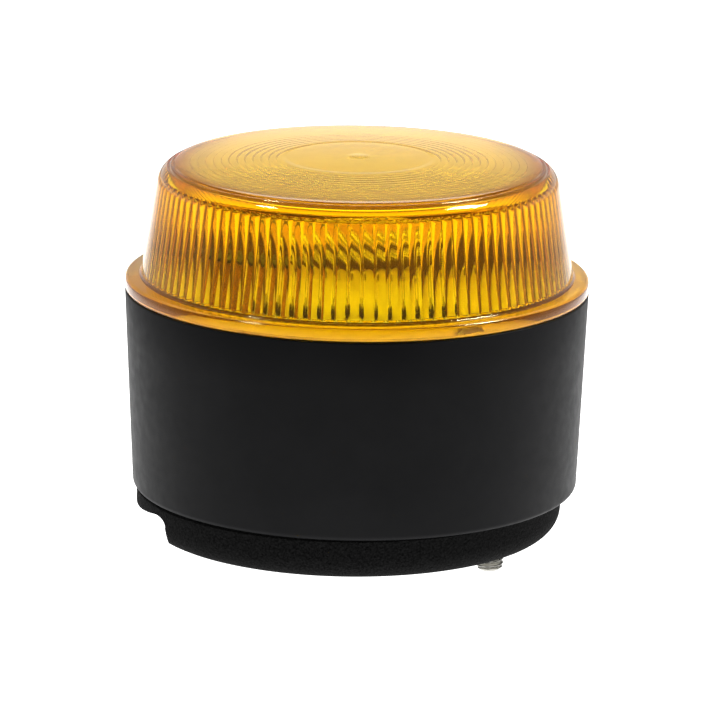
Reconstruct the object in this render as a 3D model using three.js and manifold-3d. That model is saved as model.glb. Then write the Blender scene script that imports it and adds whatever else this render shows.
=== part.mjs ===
// Low-profile amber warning beacon: a fluted lens that twists off a black housing, with a flash tube
// over a white reflector and its driver board inside, on a soft base pad with two M6 studs.
// Millimetres, +Z up. The origin is the centre of the base pad's underside; the studs lie on X.

import * as THREE from 'three';
import { mergeVertices } from 'three/addons/utils/BufferGeometryUtils.js';
import Module from 'manifold-3d';

const wasm = await Module();
wasm.setup();

// ---- Driving dimensions ----

const GAP = 0.3; // between pieces that touch
const ROUND_SIDES = 60; // sides of the large rings
const SMALL_SIDES = 16; // sides of the small round pieces
const HOLE_SIDES = 10; // sides of the screw holes

const RIM_R = 49; // the widest radius: the lens flange and the housing's top
const PAD_H = 9;
const HOUSING_TOP_Z = 51.7;
const LENS_TOP_Z = 80.1;

const STUD_SPACING = 60;
const STUD_TIP_Z = -7.5;
const M6_R = 3;
const M3_R = 1.5;

const CABLE_TURN = THREE.MathUtils.degToRad(195.5); // which way the cable leaves, seen from above
const CABLE_OFFSET = 14; // from the lamp's axis to the cable's
const TWIST = THREE.MathUtils.degToRad(30); // the lens's turn from locked to free
const TWIST_RISE = 1.2; // how far the ramps lift the lens over that turn

// ---- Sizes that follow from them ----

const pad = { r: 45.2, round: 5, shift: 1.2, holeR: 6.5, cableR: 9, reliefChord: 38, reliefH: 6.1 };

const housing = {
  bottomZ: PAD_H + GAP,
  topZ: HOUSING_TOP_Z,
  bottomR: 47.25,
  edge: 1.2,
  wall: 2.6,
  floor: 3,
  rimZ: 44, // above this the inside is straight
};
housing.floorZ = housing.bottomZ + housing.floor;
housing.innerTopR = RIM_R - housing.wall;
housing.innerBottomR = housing.bottomR - housing.wall;

const lens = {
  flangeZ: HOUSING_TOP_Z + GAP,
  flangeH: 2.7,
  flangeRound: 0.8,
  baseR: 45.6,
  shoulderR: 42.4,
  shoulderZ: 74.4,
  shoulderRound: 4,
  skirtR: 44.2,
  skirtInnerR: 42.4,
  skirtZ: 45,
  wall: 1.8,
  topWall: 2.4,
  capStep: 0.6,
  flutes: 108,
  fluteDepth: 0.8,
  fluteZ: 56,
  fluteTopZ: 73.6,
};
lens.flangeTopZ = lens.flangeZ + lens.flangeH;

const bayonet = { count: 3, firstTurn: 60, lugTurn: 24, tabTurn: 28, lugH: 1.8, tabH: 1.6, lugLift: 0.5 };
const seal = { r: 45.3, section: 0.8, z: 50.95 };

const studHead = { across: 10, h: 3.4, bossR: 8, bossH: 4, pocketAcross: 10.8 };
const studSeal = { r: 4.8, h: 1 };
const washer = { r: 5.9, h: 1.6 };
const nut = { across: 10, h: 3 };
const grommet = { bore: 3.5, holeR: 6, lipR: 8, lowLip: 1.8, highLip: 1.6, edge: 1 };

const board = { r: 38, h: 1.6, z: 19, cableR: 5 };
const boardTopZ = board.z + board.h;
const partsZ = boardTopZ + GAP; // the underside of what is soldered on the driver board
const post = { ring: 33, r: 4.2, count: 3, firstTurn: 90, holeR: 1.8 };
const link = { x: 9, y: -14, width: 8, depth: 5, h: 6, wireR: 0.8, wireOffset: 1.5, bow: 3 };

const lampBoard = { r: 39, h: 1.6, z: 43.1 };
const lampBoardTopZ = lampBoard.z + lampBoard.h;
const reflector = { r: 41.5, h: 1.5, z: lampBoardTopZ + GAP, edge: 0.4 };
const reflectorTopZ = reflector.z + reflector.h;

// The flash tube is an inverted U. Its level stretch lies across the lamp's axis, with the trigger
// wire wound round it, and the trigger coil stands beside one of its legs.
const tube = { r: 2.5, bore: 1.7, turn: 15, legOffset: 11, bend: 4.5, levelZ: 60.5 };
tube.footZ = lampBoardTopZ + GAP;
tube.along = {
  x: Math.cos(THREE.MathUtils.degToRad(tube.turn)),
  y: Math.sin(THREE.MathUtils.degToRad(tube.turn)),
};
const bush = { r: 3.6, h: 1 };
const trigger = { offset: -20, h: 13, coreR: 2.8, flangeR: 5, flangeH: 0.8, windingR: 4.5 };
const wire = { r: 0.3, turns: 5, stepsPerTurn: 12, hump: 0.5 };

// ---- Geometry helpers ----

const MERGE_TOLERANCE = 1e-4;
const OVERRUN = 1; // how far a cutting solid runs past what it cuts
const ROOT = 0.5; // how far a joined solid reaches into what it joins

// A manifold-3d solid from a closed three.js geometry, with its faces pointing out.
function solid(geometry) {
  const bare = geometry.index ? geometry.toNonIndexed() : geometry.clone();
  bare.deleteAttribute('normal');
  bare.deleteAttribute('uv');
  const merged = mergeVertices(bare, MERGE_TOLERANCE);
  const corners = merged.index.array;
  const triangles = [];
  for (let i = 0; i < corners.length; i += 3) {
    const [a, b, c] = [corners[i], corners[i + 1], corners[i + 2]];
    if (a !== b && b !== c && c !== a) triangles.push([a, b, c]);
  }
  const vertProperties = new Float32Array(merged.attributes.position.array);
  const build = (list) => new wasm.Manifold(
    new wasm.Mesh({ numProp: 3, vertProperties, triVerts: new Uint32Array(list.flat()) }),
  );
  const made = build(triangles);
  return made.volume() > 0 ? made : build(triangles.map(([a, b, c]) => [a, c, b]));
}

// A three.js geometry from a manifold-3d solid.
function toGeometry(manifold) {
  const { vertProperties, triVerts, numProp } = manifold.getMesh();
  const positions = new Float32Array((vertProperties.length / numProp) * 3);
  for (let i = 0; i < positions.length / 3; i += 1) {
    for (let k = 0; k < 3; k += 1) positions[i * 3 + k] = vertProperties[i * numProp + k];
  }
  const geometry = new THREE.BufferGeometry();
  geometry.setAttribute('position', new THREE.BufferAttribute(positions, 3));
  geometry.setIndex(new THREE.BufferAttribute(new Uint32Array(triVerts), 1));
  return geometry;
}

// A solid of revolution about Z from [radius, height] points.
function lathe(profile, sides = ROUND_SIDES) {
  const points = profile.map(([r, z]) => new THREE.Vector2(r, z));
  return solid(new THREE.LatheGeometry(points, sides).rotateX(Math.PI / 2));
}

// An upright cylinder between two heights.
function cylinder(r, z0, z1, x = 0, y = 0, sides = SMALL_SIDES) {
  const geometry = new THREE.CylinderGeometry(r, r, z1 - z0, sides);
  return solid(geometry.rotateX(Math.PI / 2).translate(x, y, (z0 + z1) / 2));
}

// An upright hexagonal prism; its flats are `across` apart.
function hexPrism(across, z0, z1, x = 0, y = 0) {
  return cylinder(across / 2 / Math.cos(Math.PI / 6), z0, z1, x, y, 6);
}

function box(width, depth, z0, z1, x = 0, y = 0) {
  return solid(new THREE.BoxGeometry(width, depth, z1 - z0).translate(x, y, (z0 + z1) / 2));
}

// Points of an arc about (cx, cz), its angles in degrees.
function arc(cx, cz, r, from, to, steps) {
  return Array.from({ length: steps + 1 }, (_, i) => {
    const turn = THREE.MathUtils.degToRad(from + ((to - from) * i) / steps);
    return [cx + r * Math.cos(turn), cz + r * Math.sin(turn)];
  });
}

// A closed ring of round section, such as an O-ring.
function ring(r, section, z, sides = ROUND_SIDES, sectionSides = 6) {
  return lathe(arc(r, z, section, 0, 360, sectionSides), sides);
}

// A block that fills part of an annulus and climbs along a screw thread as it goes round.
function rampBlock(innerR, outerR, z, height, middle, width) {
  const from = middle - width / 2;
  const to = middle + width / 2;
  const shape = new THREE.Shape();
  shape.absarc(0, 0, outerR, from, to, false);
  shape.absarc(0, 0, innerR, to, from, true);
  const options = { depth: height, bevelEnabled: false, curveSegments: 8 };
  const geometry = new THREE.ExtrudeGeometry(shape, options);
  const at = geometry.attributes.position;
  for (let i = 0; i < at.count; i += 1) {
    const turn = Math.atan2(at.getY(i), at.getX(i)) - middle;
    const along = Math.atan2(Math.sin(turn), Math.cos(turn));
    at.setZ(i, at.getZ(i) + z + (TWIST_RISE / TWIST) * along);
  }
  return solid(geometry);
}

// A rod or pipe along a smooth route through the points; with a bore it is open at both ends.
function rod(points, r, { steps, bore = 0, halfSides = 3 }) {
  const section = new THREE.Shape().absarc(0, 0, r, 0, 2 * Math.PI, false);
  if (bore > 0) section.holes.push(new THREE.Path().absarc(0, 0, bore, 0, 2 * Math.PI, true));
  const extrudePath = new THREE.CatmullRomCurve3(points.map(([x, y, z]) => new THREE.Vector3(x, y, z)));
  const options = { steps, curveSegments: halfSides, bevelEnabled: false, extrudePath };
  return solid(new THREE.ExtrudeGeometry(section, options));
}

// The places of `count` copies evenly round a circle.
function around(count, ringR, firstDegrees = 0) {
  return Array.from({ length: count }, (_, i) => {
    const turn = THREE.MathUtils.degToRad(firstDegrees + (360 * i) / count);
    return { number: i + 1, turn, x: ringR * Math.cos(turn), y: ringR * Math.sin(turn) };
  });
}

const studs = around(2, STUD_SPACING / 2);
const posts = around(post.count, post.ring, post.firstTurn);
const lugs = around(bayonet.count, 1, bayonet.firstTurn);
const cableWay = { x: CABLE_OFFSET * Math.cos(CABLE_TURN), y: CABLE_OFFSET * Math.sin(CABLE_TURN) };

// ---- Materials ----

function finish(color, roughness, metalness) {
  return new THREE.MeshStandardMaterial({ color, roughness, metalness });
}

const amber = () => finish(0xf0a810, 0.08, 0);
const blackPlastic = () => finish(0x242526, 0.42, 0);
const foam = () => finish(0x151515, 0.95, 0);
const rubber = () => finish(0x1c1c1c, 0.8, 0);
const steel = () => finish(0xa9a8a0, 0.35, 1);
const brass = () => finish(0xb8924a, 0.35, 1);
const aluminium = () => finish(0xc4c6c8, 0.45, 1);
const whitePlastic = () => finish(0xeeeeea, 0.5, 0);
const greenMask = () => finish(0x1f5a34, 0.45, 0);
const glass = () => finish(0xe8eef0, 0.05, 0);
const copper = () => finish(0xb06a38, 0.35, 1);
const yellowTape = () => finish(0xd8b030, 0.45, 0);

const root = new THREE.Group();

function add(name, shape, material) {
  const mesh = new THREE.Mesh(toGeometry(shape), material);
  mesh.name = name;
  root.add(mesh);
}

// ---- Lens ----

// The cavity behind the lens wall, its side cut into upright flutes and drawn in like the wall.
function fluteCavity() {
  const draft = (lens.baseR - lens.shoulderR) / (lens.shoulderZ - lens.flangeTopZ);
  const wallR = (z) => lens.baseR - draft * (z - lens.flangeTopZ) - lens.wall;
  const bottomR = wallR(lens.fluteZ);
  const corners = Array.from({ length: 2 * lens.flutes }, (_, i) => {
    const r = i % 2 ? bottomR : bottomR - lens.fluteDepth;
    const turn = (Math.PI * i) / lens.flutes;
    return new THREE.Vector2(r * Math.cos(turn), r * Math.sin(turn));
  });
  const depth = lens.fluteTopZ - lens.fluteZ;
  const geometry = new THREE.ExtrudeGeometry(new THREE.Shape(corners), { depth, bevelEnabled: false });
  const narrow = wallR(lens.fluteTopZ) / bottomR;
  const at = geometry.attributes.position;
  for (let i = 0; i < at.count; i += 1) {
    const scale = at.getZ(i) > depth / 2 ? narrow : 1;
    at.setXYZ(i, at.getX(i) * scale, at.getY(i) * scale, at.getZ(i) + lens.fluteZ);
  }
  return solid(geometry);
}

function lensDome() {
  const crownR = lens.shoulderR - lens.shoulderRound;
  const crownZ = lens.shoulderZ + lens.shoulderRound;
  const outside = lathe([
    [0, lens.skirtZ],
    [lens.skirtR, lens.skirtZ],
    [lens.skirtR, lens.flangeZ],
    [RIM_R, lens.flangeZ],
    ...arc(RIM_R - lens.flangeRound, lens.flangeTopZ - lens.flangeRound, lens.flangeRound, 0, 90, 2),
    [lens.baseR, lens.flangeTopZ],
    ...arc(crownR, lens.shoulderZ, lens.shoulderRound, 10, 90, 4),
    [crownR / 2, crownZ + (3 / 4) * (LENS_TOP_Z - crownZ)], // a parabola halfway out
    [0, LENS_TOP_Z],
  ]);
  const capR = crownR - lens.capStep;
  const capRound = lens.shoulderRound / 2;
  const cavityTop = lathe([
    [0, lens.fluteTopZ - OVERRUN],
    [capR, lens.fluteTopZ - OVERRUN],
    ...arc(capR - capRound, crownZ - lens.topWall - capRound, capRound, 0, 90, 2),
    [0, LENS_TOP_Z - lens.topWall],
  ]);
  const throatZ = [lens.skirtZ - OVERRUN, lens.fluteZ + OVERRUN];
  const throat = cylinder(lens.skirtInnerR, ...throatZ, 0, 0, ROUND_SIDES);
  let dome = outside.subtract(fluteCavity()).subtract(cavityTop).subtract(throat);
  const lugTurn = THREE.MathUtils.degToRad(bayonet.lugTurn);
  const reach = housing.innerTopR - GAP;
  const lugZ = lens.skirtZ + bayonet.lugLift;
  for (const { turn } of lugs) {
    dome = dome.add(rampBlock(lens.skirtR - ROOT, reach, lugZ, bayonet.lugH, turn, lugTurn));
  }
  add('lens_dome', dome, amber());
}

function lensSeal() {
  add('lens_seal', ring(seal.r, seal.section, seal.z), rubber());
}

// ---- Housing ----

function housingShell() {
  const outside = lathe([
    [0, housing.bottomZ],
    [housing.bottomR - housing.edge, housing.bottomZ],
    ...arc(housing.bottomR - housing.edge, housing.bottomZ + housing.edge, housing.edge, -60, 0, 2),
    [RIM_R, housing.topZ],
    [0, housing.topZ],
  ]);
  const inside = lathe([
    [0, housing.floorZ],
    [housing.innerBottomR, housing.floorZ],
    [housing.innerTopR, housing.rimZ],
    [housing.innerTopR, housing.topZ + OVERRUN],
    [0, housing.topZ + OVERRUN],
  ]);
  return outside.subtract(inside);
}

function housingBody() {
  let body = housingShell();
  const tabTurn = THREE.MathUtils.degToRad(bayonet.tabTurn);
  const tabZ = lens.skirtZ + bayonet.lugLift + bayonet.lugH + GAP;
  const tabR = housing.innerTopR + housing.wall / 2;
  for (const { turn } of lugs) {
    body = body.add(rampBlock(lens.skirtR + GAP, tabR, tabZ, bayonet.tabH, turn, tabTurn));
  }
  for (const { x, y } of posts) {
    body = body.add(cylinder(post.r, housing.floorZ - ROOT, board.z - GAP, x, y));
    body = body.subtract(cylinder(post.holeR, housing.floorZ, board.z + OVERRUN, x, y, HOLE_SIDES));
  }
  for (const { x, y } of studs) {
    const { bossR, bossH, pocketAcross } = studHead;
    body = body.add(cylinder(bossR, housing.floorZ - ROOT, housing.floorZ + bossH, x, y));
    body = body.subtract(hexPrism(pocketAcross, housing.floorZ, housing.floorZ + bossH + OVERRUN, x, y));
    body = body.subtract(cylinder(M6_R + GAP, 0, housing.floorZ + OVERRUN, x, y));
  }
  const cableHole = cylinder(grommet.holeR, 0, housing.floorZ + OVERRUN, cableWay.x, cableWay.y);
  add('housing', body.subtract(cableHole), blackPlastic());
}

// ---- Base: pad, studs and cable grommet ----

function basePad() {
  const { r, round, shift, reliefChord, reliefH } = pad;
  const disc = lathe([[0, 0], ...arc(r - round, round, round, -90, 0, 5), [r, PAD_H], [0, PAD_H]]);
  // The relief under the rim is a flat cut beyond a chord, so a cable can leave sideways.
  const relief = box(r, 2 * r, -OVERRUN, reliefH, -reliefChord - r / 2, 0);
  const turned = disc.subtract(relief).rotate([0, 0, THREE.MathUtils.radToDeg(CABLE_TURN) - 180]);
  let body = turned.translate([shift * Math.cos(CABLE_TURN), shift * Math.sin(CABLE_TURN), 0]);
  for (const { x, y } of studs) {
    body = body.subtract(cylinder(pad.holeR, -OVERRUN, PAD_H + OVERRUN, x, y));
  }
  body = body.subtract(cylinder(pad.cableR, -OVERRUN, PAD_H + OVERRUN, cableWay.x, cableWay.y));
  add('base_pad', body, foam());
}

// A hexagon-headed stud through the floor, with a sealing ring under its head and, below the
// floor, a washer and a thin nut that sit inside the pad's hole.
function studSet({ number, x, y }) {
  const sealZ = housing.floorZ + GAP;
  const headZ = sealZ + studSeal.h + GAP;
  const tip = 0.9;
  const shank = lathe([
    [0, STUD_TIP_Z],
    [M6_R - tip, STUD_TIP_Z],
    [M6_R, STUD_TIP_Z + tip],
    [M6_R, headZ + OVERRUN],
    [0, headZ + OVERRUN],
  ], SMALL_SIDES);
  const stud = shank.translate([x, y, 0]).add(hexPrism(studHead.across, headZ, headZ + studHead.h, x, y));
  add(`stud_${number}`, stud, steel());
  const shankHole = cylinder(M6_R + GAP, STUD_TIP_Z, headZ, x, y);
  const sealRing = cylinder(studSeal.r, sealZ, sealZ + studSeal.h, x, y);
  add(`stud_seal_${number}`, sealRing.subtract(shankHole), rubber());
  const washerZ = PAD_H - washer.h;
  add(`stud_washer_${number}`, cylinder(washer.r, washerZ, PAD_H, x, y).subtract(shankHole), steel());
  const nutTopZ = washerZ - GAP;
  const nutBody = hexPrism(nut.across, nutTopZ - nut.h, nutTopZ, x, y);
  add(`stud_nut_${number}`, nutBody.subtract(shankHole), steel());
}

function cableGrommet() {
  const { bore, holeR, lipR, lowLip, highLip, edge } = grommet;
  const neck = holeR - GAP;
  const low = housing.bottomZ - GAP;
  const high = housing.floorZ + GAP;
  const bottom = low - lowLip;
  const top = high + highLip;
  const profile = [
    [bore, bottom], [lipR - edge, bottom], [lipR, bottom + edge], [lipR, low], [neck, low],
    [neck, high], [lipR, high], [lipR - edge / 2, top - edge / 2], [bore, top], [bore, bottom],
  ];
  add('cable_grommet', lathe(profile, SMALL_SIDES).translate([cableWay.x, cableWay.y, 0]), rubber());
}

// ---- Driver board and what is soldered on it ----

// A round board with holes for the three posts.
function roundBoard({ r, z, h }) {
  const disc = cylinder(r, z, z + h, 0, 0, ROUND_SIDES);
  return postHoles(disc, z - OVERRUN, z + h + OVERRUN);
}

function postHoles(shape, z0, z1) {
  const drill = (cut, { x, y }) => cut.subtract(cylinder(post.holeR, z0, z1, x, y, HOLE_SIDES));
  return posts.reduce(drill, shape);
}

function driverBoard() {
  const cableHole = cylinder(board.cableR, board.z - OVERRUN, partsZ, cableWay.x, cableWay.y);
  add('driver_board', roundBoard(board).subtract(cableHole), greenMask());
}

// A can with the pinched ring and rounded top of an electrolytic capacitor.
function capacitor(name, x, y, r, h) {
  const pinch = 0.4;
  const pinchZ = partsZ + 5 * pinch;
  const top = partsZ + h;
  const can = lathe([
    [0, partsZ], [r, partsZ], [r, pinchZ], [r - pinch, pinchZ + pinch], [r, pinchZ + 2 * pinch],
    [r, top - pinch], [r - pinch, top], [0, top],
  ], SMALL_SIDES);
  add(name, can.translate([x, y, 0]), aluminium());
}

// A ferrite core with two windows and a taped winding round its middle leg.
function transformer() {
  const at = { x: 18, y: 13 };
  const core = { width: 16, depth: 8, h: 15, leg: 4, side: 2.3, yoke: 3, bulge: 5 };
  const windowW = (core.width - core.leg) / 2 - core.side;
  const windowX = core.leg / 2 + windowW / 2;
  const low = partsZ + core.yoke;
  const high = partsZ + core.h - core.yoke;
  let body = box(core.width, core.depth, partsZ, partsZ + core.h, at.x, at.y);
  for (const side of [-1, 1]) {
    const windowAt = at.x + side * windowX;
    body = body.subtract(box(windowW, core.depth + 2 * OVERRUN, low, high, windowAt, at.y));
  }
  add('transformer_core', body, rubber());
  const outer = { width: core.leg + 2 * (windowW - GAP), depth: core.depth + core.bulge };
  const turns = box(outer.width, outer.depth, low + GAP, high - GAP, at.x, at.y);
  const leg = box(core.leg + 2 * GAP, core.depth + 2 * GAP, low, high, at.x, at.y);
  add('transformer_winding', turns.subtract(leg), yellowTape());
}

// A flat power transistor that lies on its metal tab.
function powerTransistor() {
  const at = { x: 27, y: -4, side: 9, h: 4 };
  const tab = { depth: 4, h: 1.2 };
  const body = box(at.side, at.side, partsZ, partsZ + at.h, at.x, at.y);
  const tabY = at.y + at.side / 2 + tab.depth / 2 - OVERRUN / 2;
  add('power_transistor', body.add(box(at.side, tab.depth, partsZ, partsZ + tab.h, at.x, tabY)), rubber());
}

function driverChip() {
  const chip = { x: 3, y: -2, width: 10, depth: 8, h: 2 };
  add('driver_chip', box(chip.width, chip.depth, partsZ, partsZ + chip.h, chip.x, chip.y), rubber());
}

// A two-way screw terminal beside the cable hole.
function terminalBlock() {
  const at = { x: -12, y: -18, width: 11, depth: 8, h: 10, pitch: 5 };
  const screw = { z: partsZ + 6, r: 1.9, h: 2.7, slotW: 0.7, slotH: 0.8 };
  const wireway = { width: 3.4, h: 3.5, z: partsZ + 1.5 };
  let block = box(at.width, at.depth, partsZ, partsZ + at.h, at.x, at.y);
  [-1, 1].forEach((side, i) => {
    const x = at.x + (side * at.pitch) / 2;
    block = block.subtract(cylinder(screw.r + GAP, screw.z, partsZ + at.h + OVERRUN, x, at.y));
    const mouthY = at.y + at.depth / 2;
    block = block.subtract(box(wireway.width, at.depth / 2, wireway.z, wireway.z + wireway.h, x, mouthY));
    const headZ = screw.z + GAP;
    const head = cylinder(screw.r, headZ, headZ + screw.h, x, at.y);
    const slotZ = headZ + screw.h - screw.slotH;
    const slot = box(3 * screw.r, screw.slotW, slotZ, slotZ + OVERRUN, x, at.y);
    add(`terminal_screw_${i + 1}`, head.subtract(slot), steel());
  });
  add('terminal_block', block, greenMask());
}

// A small connector and the two wires that go up from it to the lamp board.
function linkHeader() {
  add('link_header', box(link.width, link.depth, partsZ, partsZ + link.h, link.x, link.y), whitePlastic());
  const from = partsZ + link.h + GAP;
  const to = lampBoard.z - GAP;
  const wires = [['link_wire_red', -1, 0xb02018], ['link_wire_black', 1, 0x202020]];
  for (const [name, side, color] of wires) {
    const offset = side * link.wireOffset;
    const x = link.x + offset;
    const route = [
      [x, link.y, from],
      [x, link.y, from + link.bow],
      [x + offset, link.y - link.bow, (from + to) / 2],
      [x, link.y, to - link.bow],
      [x, link.y, to],
    ];
    add(name, rod(route, link.wireR, { steps: 12 }), finish(color, 0.5, 0));
  }
}

// ---- Lamp: spacers, lamp board, reflector, flash tube and its trigger coil ----

function spacers() {
  const top = lampBoard.z - GAP;
  const across = 7;
  const stem = 7; // the depth of the thread at either end
  for (const { number, x, y } of posts) {
    const body = hexPrism(across, partsZ, top, x, y)
      .add(cylinder(M3_R, partsZ - stem, partsZ + OVERRUN, x, y));
    const thread = cylinder(post.holeR, top - stem, top + OVERRUN, x, y, HOLE_SIDES);
    add(`spacer_${number}`, body.subtract(thread), brass());
  }
}

function plateScrews() {
  const headZ = reflectorTopZ + GAP;
  const tipZ = lampBoard.z - 6;
  const head = { r: 2.8, h: 1.6, crown: 0.6, cross: 0.8 };
  for (const { number, x, y } of posts) {
    const screw = lathe([
      [0, tipZ], [M3_R, tipZ], [M3_R, headZ], [head.r, headZ],
      [head.r, headZ + head.h - head.crown], [head.r - head.crown, headZ + head.h], [0, headZ + head.h],
    ], SMALL_SIDES).translate([x, y, 0]);
    const low = headZ + head.h - head.cross;
    const across = box(4 * head.cross, head.cross, low, low + OVERRUN, x, y);
    const along = box(head.cross, 4 * head.cross, low, low + OVERRUN, x, y);
    add(`plate_screw_${number}`, screw.subtract(across.add(along)), steel());
  }
}

// A place that far along the level stretch of the tube from the lamp's axis, at that height.
function beside(distance, z) {
  return [tube.along.x * distance, tube.along.y * distance, z];
}

// Where the tube's two legs stand.
function tubeLegs() {
  return [-1, 1].map((side, i) => {
    const [x, y] = beside(side * tube.legOffset, 0);
    return { number: i + 1, x, y };
  });
}

function lampBoardDisc() {
  const leadHoleR = 0.8;
  const [low, high] = [lampBoard.z - OVERRUN, lampBoardTopZ + OVERRUN];
  let disc = roundBoard(lampBoard);
  for (const { x, y } of tubeLegs()) {
    disc = disc.subtract(cylinder(leadHoleR, low, high, x, y, HOLE_SIDES));
  }
  add('lamp_board', disc, greenMask());
}

// A white disc over the lamp board with holes for the tube's legs, the trigger coil and the screws.
function reflectorDisc() {
  const { r, z, edge } = reflector;
  let disc = lathe([[0, z], [r - edge, z], [r, z + edge], [r, reflectorTopZ - edge],
    [r - edge, reflectorTopZ], [0, reflectorTopZ]]);
  const cut = (holeR, x, y) => disc.subtract(cylinder(holeR, z - OVERRUN, reflectorTopZ + OVERRUN, x, y));
  for (const { x, y } of tubeLegs()) disc = cut(tube.r + GAP, x, y);
  const [coilX, coilY] = beside(trigger.offset, 0);
  disc = cut(trigger.flangeR + GAP, coilX, coilY);
  add('reflector', postHoles(disc, z - OVERRUN, reflectorTopZ + OVERRUN), whitePlastic());
}

// The middle line of the glass: up one leg, across, and down the other.
function tubeRoute() {
  const { legOffset, bend, footZ, levelZ } = tube;
  const corner = arc(bend - legOffset, levelZ - bend, bend, 180, 90, 4);
  const half = [[-legOffset, footZ], [-legOffset, (footZ + levelZ - bend) / 2], ...corner];
  const otherHalf = half.map(([distance, z]) => [-distance, z]).reverse();
  return [...half, ...otherHalf].map(([distance, z]) => beside(distance, z));
}

function flashTube() {
  add('flash_tube', rod(tubeRoute(), tube.r, { steps: 60, bore: tube.bore, halfSides: 6 }), glass());
  const pin = { r: 0.5, below: 2 };
  for (const { number, x, y } of tubeLegs()) {
    const lead = cylinder(pin.r, lampBoard.z - pin.below, lampBoardTopZ, x, y, 8);
    add(`tube_lead_${number}`, lead, steel());
    const low = reflectorTopZ + GAP;
    const sleeve = cylinder(bush.r, low, low + bush.h, x, y);
    const hole = cylinder(tube.r + GAP, low - OVERRUN, low + bush.h + OVERRUN, x, y);
    add(`tube_bush_${number}`, sleeve.subtract(hole), rubber());
  }
}

// A bobbin with a copper winding.
function triggerCoil() {
  const { offset, coreR, flangeR, flangeH, windingR, h } = trigger;
  const [x, y] = beside(offset, 0);
  const low = tube.footZ;
  const high = low + h;
  const bobbin = lathe([
    [0, low], [flangeR, low], [flangeR, low + flangeH], [coreR, low + flangeH], [coreR, high - flangeH],
    [flangeR, high - flangeH], [flangeR, high], [0, high],
  ], SMALL_SIDES);
  add('trigger_bobbin', bobbin.translate([x, y, 0]), rubber());
  const winding = cylinder(windingR, low + flangeH + GAP, high - flangeH - GAP, x, y);
  add('trigger_winding', winding.subtract(cylinder(coreR + GAP, low, high, x, y)), copper());
}

// A fine wire from the coil's top that winds round the level stretch of the glass.
function triggerWire() {
  const { along, r, bend, legOffset, levelZ } = tube;
  const { offset, h } = trigger;
  const windR = r + GAP + wire.r;
  const reach = legOffset - bend;
  const count = wire.turns * wire.stepsPerTurn;
  const winding = Array.from({ length: count + 1 }, (_, i) => {
    const [x, y] = beside(reach * ((2 * i) / count - 1), 0);
    const turn = (2 * Math.PI * i) / wire.stepsPerTurn;
    const aside = windR * Math.sin(turn);
    return [x - along.y * aside, y + along.x * aside, levelZ + windR * Math.cos(turn)];
  });
  const coilTop = tube.footZ + h + GAP;
  const top = levelZ + windR + wire.hump;
  const halfway = (offset - legOffset) / 2;
  const lead = [[offset, coilTop], [offset + 1.5, coilTop + 3], [halfway, top], [-reach - 2, top]];
  const route = [...lead.map(([distance, z]) => beside(distance, z)), ...winding];
  add('trigger_wire', rod(route, wire.r, { steps: 100 }), steel());
}

// ---- Assembly ----

lensDome();
lensSeal();
housingBody();
basePad();
studs.forEach(studSet);
cableGrommet();
driverBoard();
driverChip();
transformer();
capacitor('flash_capacitor', -9, 15, 8.5, 20);
capacitor('input_capacitor', -26, 8, 5, 13.6);
powerTransistor();
terminalBlock();
linkHeader();
spacers();
lampBoardDisc();
reflectorDisc();
flashTube();
triggerCoil();
triggerWire();
plateScrews();

export default root;
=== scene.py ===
"""Low-profile amber warning beacon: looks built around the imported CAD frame, in metres, +Z up."""

import math

import bmesh
import bpy
import numpy as np
from mathutils import Matrix, Vector


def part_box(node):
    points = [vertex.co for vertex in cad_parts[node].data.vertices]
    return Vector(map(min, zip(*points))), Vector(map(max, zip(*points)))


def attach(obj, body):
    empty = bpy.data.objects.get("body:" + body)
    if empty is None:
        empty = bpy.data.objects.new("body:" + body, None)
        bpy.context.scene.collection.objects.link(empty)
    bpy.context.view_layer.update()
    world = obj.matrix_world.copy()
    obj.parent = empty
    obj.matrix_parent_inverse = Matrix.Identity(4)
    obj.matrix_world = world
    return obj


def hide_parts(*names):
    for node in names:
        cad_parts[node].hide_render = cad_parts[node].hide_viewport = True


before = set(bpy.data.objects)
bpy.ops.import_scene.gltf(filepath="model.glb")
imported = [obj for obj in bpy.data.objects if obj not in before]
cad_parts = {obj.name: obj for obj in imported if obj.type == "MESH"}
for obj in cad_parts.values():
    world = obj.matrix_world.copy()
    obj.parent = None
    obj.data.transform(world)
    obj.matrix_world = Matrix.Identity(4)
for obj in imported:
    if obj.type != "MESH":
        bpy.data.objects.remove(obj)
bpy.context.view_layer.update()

MM = 0.001
TAU = 2 * math.pi

# ---- Sizes taken from the frame ----


class Place:
    """Where a CAD node is at rest: its corners, its middle and half its width, in metres."""

    def __init__(self, node):
        self.low, self.high = (Vector(corner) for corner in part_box(node))
        self.x, self.y, self.z = (self.low + self.high) / 2
        self.r = (self.high.x - self.low.x) / 2
        self.height = self.high.z - self.low.z


lens, housing, pad = Place("lens_dome"), Place("housing"), Place("base_pad")
studs = [Place("stud_1"), Place("stud_2")]
posts = [Place(f"spacer_{number}") for number in (1, 2, 3)]
grommet, reflector, tube = Place("cable_grommet"), Place("reflector"), Place("flash_tube")

FLANGE_Z = housing.high.z + 0.3 * MM
FLANGE_TOP = FLANGE_Z + 2.7 * MM
FLOOR_Z = studs[0].low.z
CABLE_TURN = math.atan2(grommet.y, grommet.x)
HOUSING_FLOOR = 3.0  # how thick the housing's floor is, mm
POST_HOLE_R = 1.8 * MM
LUG_TURNS = [math.radians(degrees) for degrees in (60, 180, 300)]
RAMP = 1.2 * MM / math.radians(30)  # how far the lens's ramps climb for each radian of turn

# ---- Mesh helpers ----


def link(name, mesh):
    """A new object of that mesh, in the scene."""
    made = bpy.data.objects.new(name, mesh)
    bpy.context.scene.collection.objects.link(made)
    return made


def smooth(made, sharp_degrees=35):
    """Smooth shading with a crease wherever the surface turns by more than that angle."""
    made.data.shade_smooth()
    made.data.set_sharp_from_angle(angle=math.radians(sharp_degrees))
    return made


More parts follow.
